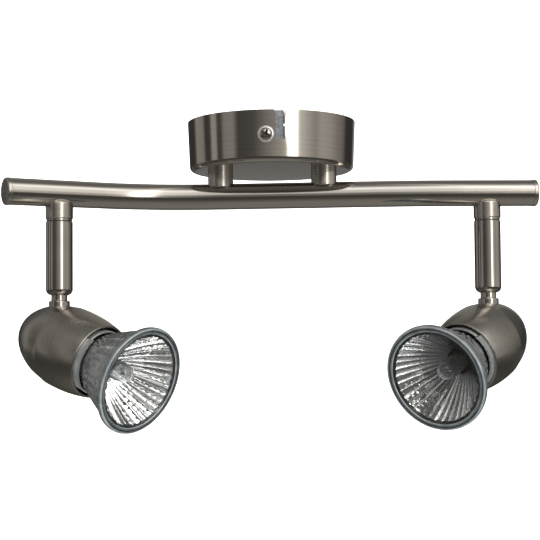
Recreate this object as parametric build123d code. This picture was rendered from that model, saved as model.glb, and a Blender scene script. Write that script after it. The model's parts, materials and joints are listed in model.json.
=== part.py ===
from build123d import *
import math
import os

# Ceiling spotlight bar with two aimable reflector lamps.
# Frame: millimetres, +Z up. The origin is the centre of the canopy on the ceiling plane.
# The front of the fixture faces -Y and its bar runs roughly along X.
# Below, "plan" means seen from above, and a pan angle turns the front towards +X when positive.

# ---------------------------------------------------------------- driving dimensions
# Canopy: a pressed steel cup, open towards the ceiling
CANOPY_TOP_DIAMETER = 82.0
CANOPY_BOTTOM_DIAMETER = 80.0
CANOPY_HEIGHT = 24.0
CANOPY_WALL = 1.0
CANOPY_EDGE_RADIUS = 2.6

# J-shaped slots in the canopy wall, one in front and one behind
SLOT_WIDTH = 4.3
SLOT_DEPTH = 13.6
SLOT_MOUTH_ANGLE = 1.5
SLOT_SCREW_ANGLE = -7.8
SLOT_MOUTH_CHAMFER = 0.8

# Ceiling plate with two turned-down tabs
PLATE_DIAMETER = 60.0
PLATE_THICKNESS = 1.5
PLATE_CABLE_HOLE = 20.0
CEILING_SLOT_SPACING = 46.0
CEILING_SLOT_LENGTH = 10.0
CEILING_SLOT_WIDTH = 4.5
TAB_WIDTH = 16.0
TAB_LENGTH = 17.0
TAB_GAP = 0.5

# Canopy side screws and their cup washers
SIDE_SCREW_DIAMETER = 3.0
SIDE_SCREW_LENGTH = 9.0
SIDE_SCREW_HEAD_DIAMETER = 5.2
SIDE_SCREW_HEAD_HEIGHT = 1.8
SIDE_SCREW_HEAD_RADIUS = 0.9
SIDE_SCREW_RECESS_WIDTH = 0.7
SIDE_SCREW_RECESS_DEPTH = 0.8
CUP_WASHER_DIAMETER = 7.8
CUP_WASHER_HEIGHT = 1.1
CUP_WASHER_SHEET = 0.4
CUP_WASHER_GAP = 0.02

# Terminal block and earth screw under the ceiling plate
BLOCK_LENGTH = 26.0
BLOCK_WIDTH = 12.0
BLOCK_HEIGHT = 11.0
BLOCK_POLES = 3
BLOCK_OFFSET = 21.0
TERMINAL_SCREW_DIAMETER = 3.0
TERMINAL_WIRE_BORE = 3.6
EARTH_SCREW_DIAMETER = 4.0
EARTH_SCREW_HEAD = 7.0

# Hollow studs that carry the bar
STUD_SPACING = 50.0
STUD_DIAMETER = 12.4
STUD_SPIGOT_DIAMETER = 8.0
STUD_BORE = 5.0
STUD_WASHER_DIAMETER = 14.0
STUD_WASHER_THICKNESS = 1.0
STUD_NUT_FLATS = 12.0
STUD_NUT_HEIGHT = 3.5
BAR_GAP = 5.6

# Bar: a round tube bent in plan
BAR_DIAMETER = 12.7
BAR_WALL = 1.0
BAR_LENGTH = 254.2
BAR_SHIFT = 0.7
BAR_LEFT_ANGLE = 24.6
BAR_RIGHT_ANGLE = 1.2
BAR_BEND_LEFT = (-56.2, 7.7)
BAR_BEND_RIGHT = (70.4, -13.6)
BAR_BEND_LEFT_RADIUS = 95.0
BAR_BEND_RIGHT_RADIUS = 280.0

# End caps
CAP_OVERHANG = 0.15
CAP_THICKNESS = 2.3
CAP_EDGE_RADIUS = 0.9
CAP_INNER_EDGE_RADIUS = 0.25
CAP_PLUG_RADIUS = 0.5
CAP_PLUG_LENGTH = 6.0
CAP_PLUG_CLEARANCE = 0.05

# Saddle joints of studs and collars on the bar
SADDLE_DEPTH = 2.2
SADDLE_EDGE_RADIUS = 0.7

# Collars and swivels at the top of the lamp stems
STEM_INSET = 24.4
COLLAR_DIAMETER = 13.0
COLLAR_HEIGHT = 5.7
COLLAR_EDGE_CHAMFER = 0.3
SWIVEL_TUBE_DIAMETER = 8.0
SWIVEL_TUBE_BORE = 5.0
SWIVEL_FLANGE_DIAMETER = 10.2
SWIVEL_FLANGE_THICKNESS = 1.2
SWIVEL_RING_DIAMETER = 12.2
SWIVEL_RING_THICKNESS = 1.1
SWIVEL_RING_EDGE_RADIUS = 0.25
SWIVEL_RUNNING_FIT = 0.05
SWIVEL_END_PLAY = 0.1

# Lamp stems: tubes that hold the tilt ball
BALL_DIAMETER = 10.4
BALL_CLEARANCE = 0.15
STEM_WALL = 1.0
STEM_LENGTH = 35.1
STEM_TOP_WALL = 2.0
STEM_TOP_CHAMFER = 0.4
STEM_BOTTOM_RADIUS = 3.0
SEAT_LIP = 1.0
NECK_DIAMETER = 7.6
NECK_CLEARANCE = 0.25
TILT_RANGE = 75.0

# Pressure sleeve and spring washer above the ball
SLEEVE_BORE = 6.0
SLEEVE_CLEARANCE = 0.1
SLEEVE_SEAT_HEIGHT = 2.8
SPRING_SHEET = 0.4
SPRING_HEIGHT = 0.9
SPRING_GAP = 0.1

# Neck under the ball
NECK_VISIBLE_LENGTH = 2.6
NECK_FLANGE_DIAMETER = 9.9
NECK_FLANGE_THICKNESS = 2.0
NECK_SPIGOT_DIAMETER = 6.0
NECK_BORE = 3.6
NECK_FLANGE_EDGE_RADIUS = 0.4
NECK_ROOT_RADIUS = 0.5
NECK_NUT_FLATS = 9.0
NECK_NUT_HEIGHT = 2.5

# Egg-shaped lamp shell
SHELL_DIAMETER = 38.8
SHELL_REAR_LENGTH = 33.0
SHELL_FRONT_LENGTH = 38.7
SHELL_MOUTH_DISTANCE = 17.5
SHELL_WALL = 1.0
SHELL_EDGE_RADIUS = 0.35
QUARTER_STEPS = 8
AXIS_DROP_ANGLE = 18.0
PAN_LEFT = 48.9
PAN_RIGHT = -41.5

# Reflector lamp with a bayonet base
LAMP_DIAMETER = 50.0
LAMP_PROJECTION = 27.4
LAMP_RIM_THICKNESS = 3.0
LAMP_RIM_STEP = 1.6
LAMP_GLASS = 2.0
LAMP_APERTURE_DIAMETER = 42.0
LAMP_BOWL_DEPTH = 26.0
LAMP_BOWL_REAR_DIAMETER = 27.2
LAMP_BOWL_MIDDLE = (19.4, 13.5)
LAMP_APEX_BORE = 12.0
LAMP_RIM_RADIUS = 0.9
LAMP_SEAT_RADIUS = 0.4
COVER_GLASS_THICKNESS = 1.3
COVER_GLASS_RECESS = 0.5
COVER_GLASS_SEAT = 0.9
LAMP_BODY_LENGTH = 48.8
LAMP_BASE_DIAMETER = 23.0
LAMP_BASE_GROOVE_DIAMETER = 20.6
LAMP_BASE_GROOVE_LENGTH = 3.0
LAMP_BASE_FOOT_LENGTH = 12.0
CAPSULE_DIAMETER = 9.0
CAPSULE_WALL = 0.8
CAPSULE_FRONT_DEPTH = 8.0
CAPSULE_SEAT_DEPTH = 5.0
CAPSULE_FOOT = 4.0
FILAMENT_DIAMETER = 1.2
FILAMENT_LENGTH = 4.0
FILAMENT_LEAD = 0.4
PIN_SPACING = 10.0
PIN_DIAMETER = 3.0
PIN_HEAD_DIAMETER = 4.8
PIN_HEAD_HEIGHT = 2.3
PIN_SHANK_LENGTH = 3.5
PIN_SEAT_DEPTH = 4.0
LAMP_BASE_EDGE_RADIUS = 0.8

# Lampholder, its strap and ring inside the shell
HOLDER_DIAMETER = 23.0
HOLDER_FACE_THICKNESS = 3.0
HOLDER_POCKET_DEPTH = 3.4
HOLDER_POCKET_MARGIN = 0.8
HOLDER_BACK_THICKNESS = 2.4
HOLDER_GAP = 0.25
BAYONET_TURN = 20.0
BAYONET_CLEARANCE = 0.3
CONTACT_THICKNESS = 0.4
STRAP_THICKNESS = 1.0
STRAP_WIDTH = 23.0
STRAP_FIT = 0.05
STRAP_REACH = 3.0
RING_REACH = 1.2
RING_LENGTH = 2.6
RING_WALL = 1.0
RING_EDGE_RADIUS = 0.4
HOLDER_SCREW_DIAMETER = 3.0
HOLDER_SCREW_SPACING = 12.0
HOLDER_SCREW_HEAD = 5.4
HOLDER_SCREW_HEAD_HEIGHT = 1.8

# ---------------------------------------------------------------- derived places
bar_radius = BAR_DIAMETER / 2
bar_z = -CANOPY_HEIGHT - BAR_GAP - bar_radius
bar_bottom = bar_z - bar_radius
collar_bottom = bar_bottom - COLLAR_HEIGHT
ring_bottom = collar_bottom - SWIVEL_RING_THICKNESS
stem_top = ring_bottom - SWIVEL_END_PLAY
stem_bottom = stem_top - STEM_LENGTH

ball_radius = BALL_DIAMETER / 2
seat_radius = ball_radius + BALL_CLEARANCE
stem_radius = seat_radius + STEM_WALL
opening_radius = NECK_DIAMETER / 2 + NECK_CLEARANCE
ball_above_seat = math.sqrt(seat_radius ** 2 - opening_radius ** 2)
ball_z = stem_bottom + SEAT_LIP + ball_above_seat

# Where the neck stands square on the shell: the point of the rear ellipse whose normal leans
# back by the drop angle, so that the lamp points that far below the horizon.
shell_radius = SHELL_DIAMETER / 2
drop = math.radians(AXIS_DROP_ANGLE)
foot_parameter = math.atan(SHELL_REAR_LENGTH / shell_radius * math.tan(drop))
foot_behind = SHELL_REAR_LENGTH * math.sin(foot_parameter)
foot_radius = shell_radius * math.cos(foot_parameter)
foot_on_axis = -foot_behind + foot_radius * math.tan(drop)
neck_top_of_shell = (ball_z - stem_bottom) + NECK_VISIBLE_LENGTH + NECK_FLANGE_THICKNESS
ball_to_axis = neck_top_of_shell + foot_radius / math.cos(drop)

# Along the lamp axis, measured forwards from the widest plane of the shell
lamp_front = SHELL_MOUTH_DISTANCE + LAMP_PROJECTION
base_rear = lamp_front - LAMP_BODY_LENGTH
holder_face = base_rear - HOLDER_GAP
holder_length = HOLDER_FACE_THICKNESS + HOLDER_POCKET_DEPTH + HOLDER_BACK_THICKNESS
holder_rear = holder_face - holder_length
mouth_share = SHELL_MOUTH_DISTANCE / (SHELL_FRONT_LENGTH - SHELL_WALL)
mouth_inner_radius = (shell_radius - SHELL_WALL) * math.sqrt(1 - mouth_share ** 2)
strap_radius = mouth_inner_radius - STRAP_FIT

# Plan of the bar's centre line, between its end caps
left_end_x = BAR_SHIFT - BAR_LENGTH / 2 + CAP_THICKNESS
right_end_x = BAR_SHIFT + BAR_LENGTH / 2 - CAP_THICKNESS
left_end_y = BAR_BEND_LEFT[1] - (BAR_BEND_LEFT[0] - left_end_x) * math.tan(math.radians(BAR_LEFT_ANGLE))
right_end_y = BAR_BEND_RIGHT[1] - (right_end_x - BAR_BEND_RIGHT[0]) * math.tan(math.radians(BAR_RIGHT_ANGLE))
BAR_PATH = FilletPolyline(
    (left_end_x, left_end_y, bar_z),
    (*BAR_BEND_LEFT, bar_z),
    (*BAR_BEND_RIGHT, bar_z),
    (right_end_x, right_end_y, bar_z),
    radius=[BAR_BEND_LEFT_RADIUS, BAR_BEND_RIGHT_RADIUS],
)


# ---------------------------------------------------------------- helpers
def turned(points, rounds=()):
    """A solid turned about Z from a closed outline of (radius, height) points.

    rounds lists (point, radius) pairs for the corners that are rounded."""
    face = make_face(Polyline(*points, close=True))
    for point, radius in rounds:
        corner = face.vertices().sort_by_distance((*point, 0))[0]
        face = fillet(corner, radius)
    return revolve(Plane.XZ * face, Axis.Z)


def post(radius, bottom, top):
    """An upright cylinder on the Z axis between two heights."""
    return Pos(0, 0, bottom) * Cylinder(radius, top - bottom, align=(Align.CENTER, Align.CENTER, Align.MIN))


def hexagon_nut(flats, bore, bottom, height):
    """An upright hexagon nut on the Z axis."""
    blank = extrude(RegularPolygon(flats / 2, 6, major_radius=False), height)
    return Pos(0, 0, bottom) * blank - post(bore / 2, bottom - 1, bottom + height + 1)


def bar_point(x):
    """The point of the bar's centre line at one X."""
    low, high = 0.0, 1.0
    for _ in range(40):
        middle = (low + high) / 2
        if (BAR_PATH @ middle).X < x:
            low = middle
        else:
            high = middle
    return BAR_PATH @ low


def bar_solid(radius):
    """A round rod along the whole bar."""
    start = Plane(origin=BAR_PATH @ 0, z_dir=BAR_PATH % 0)
    return sweep(start * Circle(radius), path=BAR_PATH)


def canopy_radius(z):
    """Outer radius of the tapered canopy wall at a height."""
    share = -z / CANOPY_HEIGHT
    return (CANOPY_TOP_DIAMETER + (CANOPY_BOTTOM_DIAMETER - CANOPY_TOP_DIAMETER) * share) / 2


def facing(angle):
    """Turn about Z that carries something built at the front (-Y) to a plan angle."""
    return Rot(0, 0, angle)


def quarter_ellipse(radius, length, start):
    """A quarter of an ellipse as one smooth curve, counter-clockwise from a start angle."""
    angles = [math.radians(start + 90 * step / QUARTER_STEPS) for step in range(QUARTER_STEPS + 1)]
    points = [(round(radius * math.cos(angle), 6), round(length * math.sin(angle), 6)) for angle in angles]
    leaving = (-math.sin(angles[0]), math.cos(angles[0]))
    arriving = (-math.sin(angles[-1]), math.cos(angles[-1]))
    return Spline(*points, tangents=(leaving, arriving))


def egg_section(inset):
    """Half section of the egg as (radius, place on the axis), inset from the outer surface."""
    radius = shell_radius - inset
    rear = quarter_ellipse(radius, SHELL_REAR_LENGTH - inset, -90)
    front = quarter_ellipse(radius, SHELL_FRONT_LENGTH - inset, 0)
    return make_face([rear, front, Line(front @ 1, rear @ 0)])


def egg(inset):
    """The closed egg body about Z, its wide plane at zero and its front towards +Z."""
    return revolve(Plane.XZ * egg_section(inset), Axis.Z)


# Turns the lamp axis from +Z to the front and down, and hangs it under the tilt ball.
AXIS_TO_BALL = Pos(0, 0, -ball_to_axis) * Rot(90 + AXIS_DROP_ANGLE, 0, 0) * Pos(0, 0, -foot_on_axis)


def at_stem(side):
    """Placement of the stem axis of one side, turned to its lamp's pan angle."""
    point = bar_point(BAR_SHIFT + side * (BAR_LENGTH / 2 - STEM_INSET))
    return Pos(point.X, point.Y, 0) * facing(PAN_LEFT if side < 0 else PAN_RIGHT)


def at_ball(side):
    """Placement of the tilt ball of one side."""
    return at_stem(side) * Pos(0, 0, ball_z)


# ---------------------------------------------------------------- canopy and ceiling plate
def canopy():
    top = CANOPY_TOP_DIAMETER / 2
    bottom = CANOPY_BOTTOM_DIAMETER / 2
    floor = -CANOPY_HEIGHT
    inner_floor = floor + CANOPY_WALL
    outline = [(0, floor), (bottom, floor), (top, 0), (top - CANOPY_WALL, 0),
               (bottom - CANOPY_WALL, inner_floor), (0, inner_floor)]
    rounds = [((bottom, floor), CANOPY_EDGE_RADIUS),
              ((bottom - CANOPY_WALL, inner_floor), CANOPY_EDGE_RADIUS - CANOPY_WALL)]
    cup = turned(outline, rounds)
    for turn in (0, 180):
        cup -= facing(turn) * j_slot()
    for side in (-1, 1):
        point = bar_point(side * STUD_SPACING / 2)
        cup -= Pos(point.X, point.Y, 0) * post(STUD_SPIGOT_DIAMETER / 2, floor - 1, inner_floor + 1)
    return cup


def j_slot():
    """Cutter for the front J slot: a mouth down from the rim and a level leg to the screw."""
    reach = CANOPY_TOP_DIAMETER / 2 + 2
    thin = reach - CANOPY_BOTTOM_DIAMETER / 2 + 3
    centre = reach - thin / 2
    leg_z = -SLOT_DEPTH + SLOT_WIDTH / 2
    mouth = Pos(0, -centre, -SLOT_DEPTH / 2 + 1) * Box(SLOT_WIDTH, thin, SLOT_DEPTH + 2)
    flare_width = SLOT_WIDTH + 2 * SLOT_MOUTH_CHAMFER
    flare_outline = Polyline((-flare_width / 2 - 1, 1), (flare_width / 2 + 1, 1),
                             (SLOT_WIDTH / 2, -SLOT_MOUTH_CHAMFER), (-SLOT_WIDTH / 2, -SLOT_MOUTH_CHAMFER),
                             close=True)
    flare = Pos(0, -centre + thin / 2, 0) * extrude(Plane.XZ * make_face(flare_outline), thin)
    section = Pos(centre, leg_z) * Rectangle(thin, SLOT_WIDTH)
    leg_turn = SLOT_MOUTH_ANGLE - SLOT_SCREW_ANGLE
    leg = facing(SLOT_SCREW_ANGLE - 90) * revolve(Plane.XZ * section, Axis.Z, leg_turn)
    end = facing(SLOT_SCREW_ANGLE) * Pos(0, -centre, leg_z) * Rot(90, 0, 0) * Cylinder(SLOT_WIDTH / 2, thin)
    return facing(SLOT_MOUTH_ANGLE) * (mouth + flare) + leg + end


def tab_face():
    """Distance of the tabs' outer faces from the canopy axis."""
    inner = canopy_radius(-TAB_LENGTH) - CANOPY_WALL
    return math.sqrt(inner ** 2 - (TAB_WIDTH / 2) ** 2) - TAB_GAP


def screw_height():
    return -SLOT_DEPTH + SLOT_WIDTH / 2


def ceiling_plate():
    disc = post(PLATE_DIAMETER / 2, -PLATE_THICKNESS, 0)
    arms = Pos(0, 0, -PLATE_THICKNESS / 2) * Box(TAB_WIDTH, 2 * tab_face(), PLATE_THICKNESS)
    plate = disc + facing(SLOT_SCREW_ANGLE) * arms
    for turn in (0, 180):
        tab = Pos(0, -tab_face() + PLATE_THICKNESS / 2, -TAB_LENGTH / 2)
        blank = tab * Box(TAB_WIDTH, PLATE_THICKNESS, TAB_LENGTH)
        hole = Pos(0, -tab_face(), screw_height()) * Rot(90, 0, 0) * Cylinder(SIDE_SCREW_DIAMETER / 2, 6)
        plate += facing(SLOT_SCREW_ANGLE + turn) * blank
        plate -= facing(SLOT_SCREW_ANGLE + turn) * hole
    plate -= post(PLATE_CABLE_HOLE / 2, -PLATE_THICKNESS - 1, 1)
    for side in (-1, 1):
        slot = extrude(SlotOverall(CEILING_SLOT_LENGTH, CEILING_SLOT_WIDTH), PLATE_THICKNESS + 2)
        plate -= Pos(side * CEILING_SLOT_SPACING / 2, 0, -PLATE_THICKNESS - 1) * slot
    plate -= Pos(*earth_place()) * post(EARTH_SCREW_DIAMETER / 2, -PLATE_THICKNESS - 1, 1)
    return plate


def earth_place():
    """Plan place of the earth screw on the ceiling plate."""
    return (-PLATE_DIAMETER / 4, -PLATE_DIAMETER / 4 - EARTH_SCREW_HEAD / 2, 0)


def washer_face():
    """Distance of the cup washers' inner faces from the canopy axis."""
    return canopy_radius(screw_height() + CUP_WASHER_DIAMETER / 2) + CUP_WASHER_GAP


def canopy_cup_washers():
    rim = CUP_WASHER_DIAMETER / 2
    hole = SIDE_SCREW_DIAMETER / 2 + 0.1
    seat = SIDE_SCREW_HEAD_DIAMETER / 2 + 0.2
    outline = [(hole, 0), (hole, CUP_WASHER_SHEET), (seat, CUP_WASHER_SHEET),
               (seat + CUP_WASHER_SHEET, CUP_WASHER_HEIGHT), (rim, CUP_WASHER_SHEET * 0.6), (rim, 0)]
    washer = turned(outline)
    return [facing(SLOT_SCREW_ANGLE + turn) * Pos(0, -washer_face(), screw_height()) * Rot(90, 0, 0) * washer
            for turn in (0, 180)]


def canopy_screws():
    head = SIDE_SCREW_HEAD_DIAMETER / 2
    seat = CUP_WASHER_SHEET
    shank = SIDE_SCREW_DIAMETER / 2
    outline = [(0, seat - SIDE_SCREW_LENGTH), (shank, seat - SIDE_SCREW_LENGTH), (shank, seat), (head, seat),
               (head, seat + SIDE_SCREW_HEAD_HEIGHT), (0, seat + SIDE_SCREW_HEAD_HEIGHT)]
    top = seat + SIDE_SCREW_HEAD_HEIGHT
    screw = turned(outline, [((head, top), SIDE_SCREW_HEAD_RADIUS)])
    recess = Box(SIDE_SCREW_RECESS_WIDTH, head * 1.3, 2 * SIDE_SCREW_RECESS_DEPTH)
    for turn in (45, 135):
        screw -= Pos(0, 0, top) * Rot(0, 0, turn) * recess
    return [facing(SLOT_SCREW_ANGLE + turn) * Pos(0, -washer_face(), screw_height()) * Rot(90, 0, 0) * screw
            for turn in (0, 180)]


def terminal_block():
    centre = Pos(0, BLOCK_OFFSET, -PLATE_THICKNESS - BLOCK_HEIGHT / 2)
    block = centre * Box(BLOCK_LENGTH, BLOCK_WIDTH, BLOCK_HEIGHT)
    wire_way = Rot(90, 0, 0) * Cylinder(TERMINAL_WIRE_BORE / 2, BLOCK_WIDTH + 2)
    screw_way = Pos(0, 0, -BLOCK_HEIGHT / 2) * Cylinder(TERMINAL_SCREW_DIAMETER / 2, BLOCK_HEIGHT)
    for x in pole_places():
        block -= centre * Pos(x, 0, 0) * (wire_way + screw_way)
    return block


def pole_places():
    """X of each pole of the terminal block."""
    pitch = BLOCK_LENGTH / BLOCK_POLES
    return [(pole - (BLOCK_POLES - 1) / 2) * pitch for pole in range(BLOCK_POLES)]


def terminal_screws():
    bottom = -PLATE_THICKNESS - BLOCK_HEIGHT + 1
    screw = post(TERMINAL_SCREW_DIAMETER / 2, bottom, bottom + BLOCK_HEIGHT / 4)
    screw -= Pos(0, 0, bottom) * Box(TERMINAL_SCREW_DIAMETER, 0.6, 1.2)
    return [Pos(x, BLOCK_OFFSET, 0) * screw for x in pole_places()]


def earth_screw():
    head_top = -PLATE_THICKNESS
    screw = post(EARTH_SCREW_DIAMETER / 2, head_top - 2.5, 0)
    screw += post(EARTH_SCREW_HEAD / 2, head_top - 2.5, head_top)
    screw -= Pos(0, 0, head_top - 2.5) * Box(0.8, EARTH_SCREW_HEAD + 1, 2.0)
    return Pos(*earth_place()) * screw


# ---------------------------------------------------------------- studs, bar and end caps
def at_stud(side):
    point = bar_point(side * STUD_SPACING / 2)
    return Pos(point.X, point.Y, 0)


def stud(side):
    radius = STUD_DIAMETER / 2
    saddle = bar_z + bar_radius - SADDLE_DEPTH
    underside = -CANOPY_HEIGHT
    spigot = STUD_SPIGOT_DIAMETER / 2
    spigot_top = (underside + CANOPY_WALL + STUD_WASHER_THICKNESS + STUD_NUT_HEIGHT + 1)
    outline = [(0, saddle), (radius, saddle), (radius, underside), (spigot, underside),
               (spigot, spigot_top), (0, spigot_top)]
    body = at_stud(side) * turned(outline, [((radius, saddle), SADDLE_EDGE_RADIUS)])
    body -= bar_solid(bar_radius)
    return body - at_stud(side) * post(STUD_BORE / 2, saddle - 2, spigot_top + 1)


def stud_washers():
    floor = -CANOPY_HEIGHT + CANOPY_WALL
    washer = post(STUD_WASHER_DIAMETER / 2, floor, floor + STUD_WASHER_THICKNESS)
    washer -= post(STUD_SPIGOT_DIAMETER / 2, floor - 1, floor + STUD_WASHER_THICKNESS + 1)
    return [at_stud(side) * washer for side in (-1, 1)]


def stud_nuts():
    bottom = -CANOPY_HEIGHT + CANOPY_WALL + STUD_WASHER_THICKNESS
    nut = hexagon_nut(STUD_NUT_FLATS, STUD_SPIGOT_DIAMETER, bottom, STUD_NUT_HEIGHT)
    return [at_stud(side) * nut for side in (-1, 1)]


def bar_tube():
    tube = bar_solid(bar_radius) - bar_solid(bar_radius - BAR_WALL)
    for side in (-1, 1):
        tube -= at_stud(side) * post(STUD_BORE / 2, bar_z, bar_z + bar_radius + 1)
        tube -= at_stem(side) * post(SWIVEL_TUBE_DIAMETER / 2, bar_bottom - 1, bar_z)
    return tube


def end_cap(side):
    """A plug with a rounded head, driven into one end of the bar."""
    head = bar_radius + CAP_OVERHANG
    plug = bar_radius - BAR_WALL - CAP_PLUG_CLEARANCE
    outline = [(0, -CAP_PLUG_LENGTH), (plug, -CAP_PLUG_LENGTH), (plug, 0), (head, 0),
               (head, CAP_THICKNESS), (0, CAP_THICKNESS)]
    rounds = [((head, CAP_THICKNESS), CAP_EDGE_RADIUS), ((head, 0), CAP_INNER_EDGE_RADIUS),
              ((plug, -CAP_PLUG_LENGTH), CAP_PLUG_RADIUS)]
    cap = turned(outline, rounds)
    if side < 0:
        end = Plane(origin=BAR_PATH @ 0, z_dir=-(BAR_PATH % 0))
    else:
        end = Plane(origin=BAR_PATH @ 1, z_dir=BAR_PATH % 1)
    return end * cap


# ---------------------------------------------------------------- collars, swivels and stems
def collar(side):
    radius = COLLAR_DIAMETER / 2
    top = bar_bottom + SADDLE_DEPTH
    bore = SWIVEL_TUBE_DIAMETER / 2
    outline = [(bore, collar_bottom), (radius - COLLAR_EDGE_CHAMFER, collar_bottom),
               (radius, collar_bottom + COLLAR_EDGE_CHAMFER), (radius, top), (bore, top)]
    body = at_stem(side) * turned(outline, [((radius, top), SADDLE_EDGE_RADIUS)])
    return body - bar_solid(bar_radius)


def swivel_tube(side):
    """The hollow pivot: fixed in the collar, with a flange that carries the stem."""
    radius = SWIVEL_TUBE_DIAMETER / 2
    bore = SWIVEL_TUBE_BORE / 2
    flange = SWIVEL_FLANGE_DIAMETER / 2
    flange_top = stem_top - STEM_TOP_WALL - SWIVEL_END_PLAY / 2
    flange_bottom = flange_top - SWIVEL_FLANGE_THICKNESS
    top = bar_bottom + BAR_WALL + 1
    outline = [(bore, flange_bottom), (flange, flange_bottom), (flange, flange_top), (radius, flange_top),
               (radius, top), (bore, top)]
    return at_stem(side) * turned(outline)


def swivel_ring(side):
    radius = SWIVEL_RING_DIAMETER / 2
    bore = SWIVEL_TUBE_DIAMETER / 2
    outline = [(bore, ring_bottom), (radius, ring_bottom), (radius, collar_bottom), (bore, collar_bottom)]
    rounds = [((radius, ring_bottom), SWIVEL_RING_EDGE_RADIUS),
              ((radius, collar_bottom), SWIVEL_RING_EDGE_RADIUS)]
    return at_stem(side) * turned(outline, rounds)


def stem(side):
    """Tube that turns on the swivel and holds the ball in a rounded lip, slotted behind."""
    lip = stem_bottom - ball_z
    roof = stem_top - ball_z
    ceiling = roof - STEM_TOP_WALL
    bore = SWIVEL_TUBE_DIAMETER / 2 + SWIVEL_RUNNING_FIT
    outline = [(0, lip), (stem_radius, lip), (stem_radius, roof - STEM_TOP_CHAMFER),
               (stem_radius - STEM_TOP_CHAMFER, roof), (0, roof)]
    body = turned(outline, [((stem_radius, lip), STEM_BOTTOM_RADIUS)])
    seat_arc = CenterArc((0, 0), seat_radius, 0, -math.degrees(math.acos(opening_radius / seat_radius)))
    sides = Polyline(seat_arc @ 1, (opening_radius, lip - 1), (0, lip - 1), (0, ceiling),
                     (seat_radius, ceiling), seat_arc @ 0)
    body -= revolve(Plane.XZ * make_face([seat_arc, sides]), Axis.Z)
    body -= post(bore, ceiling - 1, roof + 1)
    body -= tilt_slot(lip)
    return at_ball(side) * body


def tilt_slot(lip):
    """Cutter behind the ball that lets the neck swing up to the tilt range."""
    half = NECK_DIAMETER / 2 + NECK_CLEARANCE - 0.05
    swing = math.radians(90 - TILT_RANGE)
    neck_line = -seat_radius * math.tan(swing)
    neck_half = NECK_DIAMETER / 2 / math.cos(swing)
    top = neck_line + neck_half + NECK_CLEARANCE
    reach = stem_radius + 2
    straight = Pos(0, reach / 2, (lip - 1 + top - half) / 2) * Box(2 * half, reach, top - half - lip + 1)
    round_end = Pos(0, reach / 2, top - half) * Rot(90, 0, 0) * Cylinder(half, reach)
    return straight + round_end


def sleeve_top():
    flange_bottom = stem_top - STEM_TOP_WALL - SWIVEL_END_PLAY / 2 - SWIVEL_FLANGE_THICKNESS
    return flange_bottom - SPRING_GAP - SPRING_HEIGHT - ball_z


def pressure_sleeve(side):
    """Nylon sleeve that a spring washer presses on the ball."""
    radius = seat_radius - SLEEVE_CLEARANCE
    outline = [(SLEEVE_BORE / 2, SLEEVE_SEAT_HEIGHT), (radius, SLEEVE_SEAT_HEIGHT),
               (radius, sleeve_top()), (SLEEVE_BORE / 2, sleeve_top())]
    return at_ball(side) * (turned(outline) - Sphere(ball_radius + SLEEVE_CLEARANCE))


def spring_washer(side):
    """A conical spring washer between the swivel flange and the sleeve."""
    outer = seat_radius - 2 * SLEEVE_CLEARANCE
    inner = SLEEVE_BORE / 2 + 0.2
    low = sleeve_top()
    rise = SPRING_HEIGHT - SPRING_SHEET
    outline = [(outer, low), (outer, low + SPRING_SHEET),
               (inner, low + SPRING_SHEET + rise), (inner, low + rise)]
    return at_ball(side) * turned(outline)


# ---------------------------------------------------------------- lamp heads
def ball_neck(side):
    """Ball, neck, flange and threaded spigot in one turned piece with a wire bore."""
    neck = NECK_DIAMETER / 2
    flange = NECK_FLANGE_DIAMETER / 2
    flange_top = -neck_top_of_shell + NECK_FLANGE_THICKNESS
    flange_end = -neck_top_of_shell - NECK_FLANGE_THICKNESS
    outline = [(0, flange_end), (flange, flange_end), (flange, flange_top),
               (neck, flange_top), (neck, 0), (0, 0)]
    rounds = [((flange, flange_top), NECK_FLANGE_EDGE_RADIUS), ((neck, flange_top), NECK_ROOT_RADIUS)]
    body = turned(outline, rounds) - AXIS_TO_BALL * egg(0)
    spigot_end = -neck_top_of_shell - SHELL_WALL - NECK_NUT_HEIGHT - 0.8
    body += Sphere(ball_radius) + post(NECK_SPIGOT_DIAMETER / 2, spigot_end, flange_top)
    return at_ball(side) * (body - post(NECK_BORE / 2, spigot_end - 1, ball_radius + 1))


def neck_nut(side):
    top = -neck_top_of_shell - SHELL_WALL * 0.6
    height = NECK_NUT_HEIGHT + SHELL_WALL * 0.4
    nut = hexagon_nut(NECK_NUT_FLATS, NECK_SPIGOT_DIAMETER, top - height, height)
    return at_ball(side) * (nut & AXIS_TO_BALL * egg(SHELL_WALL))


def head_shell(side):
    beyond = SHELL_FRONT_LENGTH
    cut_away = Pos(0, SHELL_MOUTH_DISTANCE + beyond / 2) * Rectangle(2 * SHELL_DIAMETER, beyond)
    section = egg_section(0) - egg_section(SHELL_WALL) - cut_away
    rim = section.vertices().filter_by(lambda corner: abs(corner.Y - SHELL_MOUTH_DISTANCE) < 0.001)
    section = fillet(rim, SHELL_EDGE_RADIUS)
    placed = AXIS_TO_BALL * revolve(Plane.XZ * section, Axis.Z)
    hole_top = -neck_top_of_shell + NECK_FLANGE_THICKNESS
    placed -= post(NECK_SPIGOT_DIAMETER / 2, -ball_to_axis, hole_top)
    return at_ball(side) * placed


def on_lamp_axis(side, shape):
    """Carry a shape built about Z, wide plane of the shell at zero, to one lamp."""
    return at_ball(side) * AXIS_TO_BALL * shape


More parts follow.
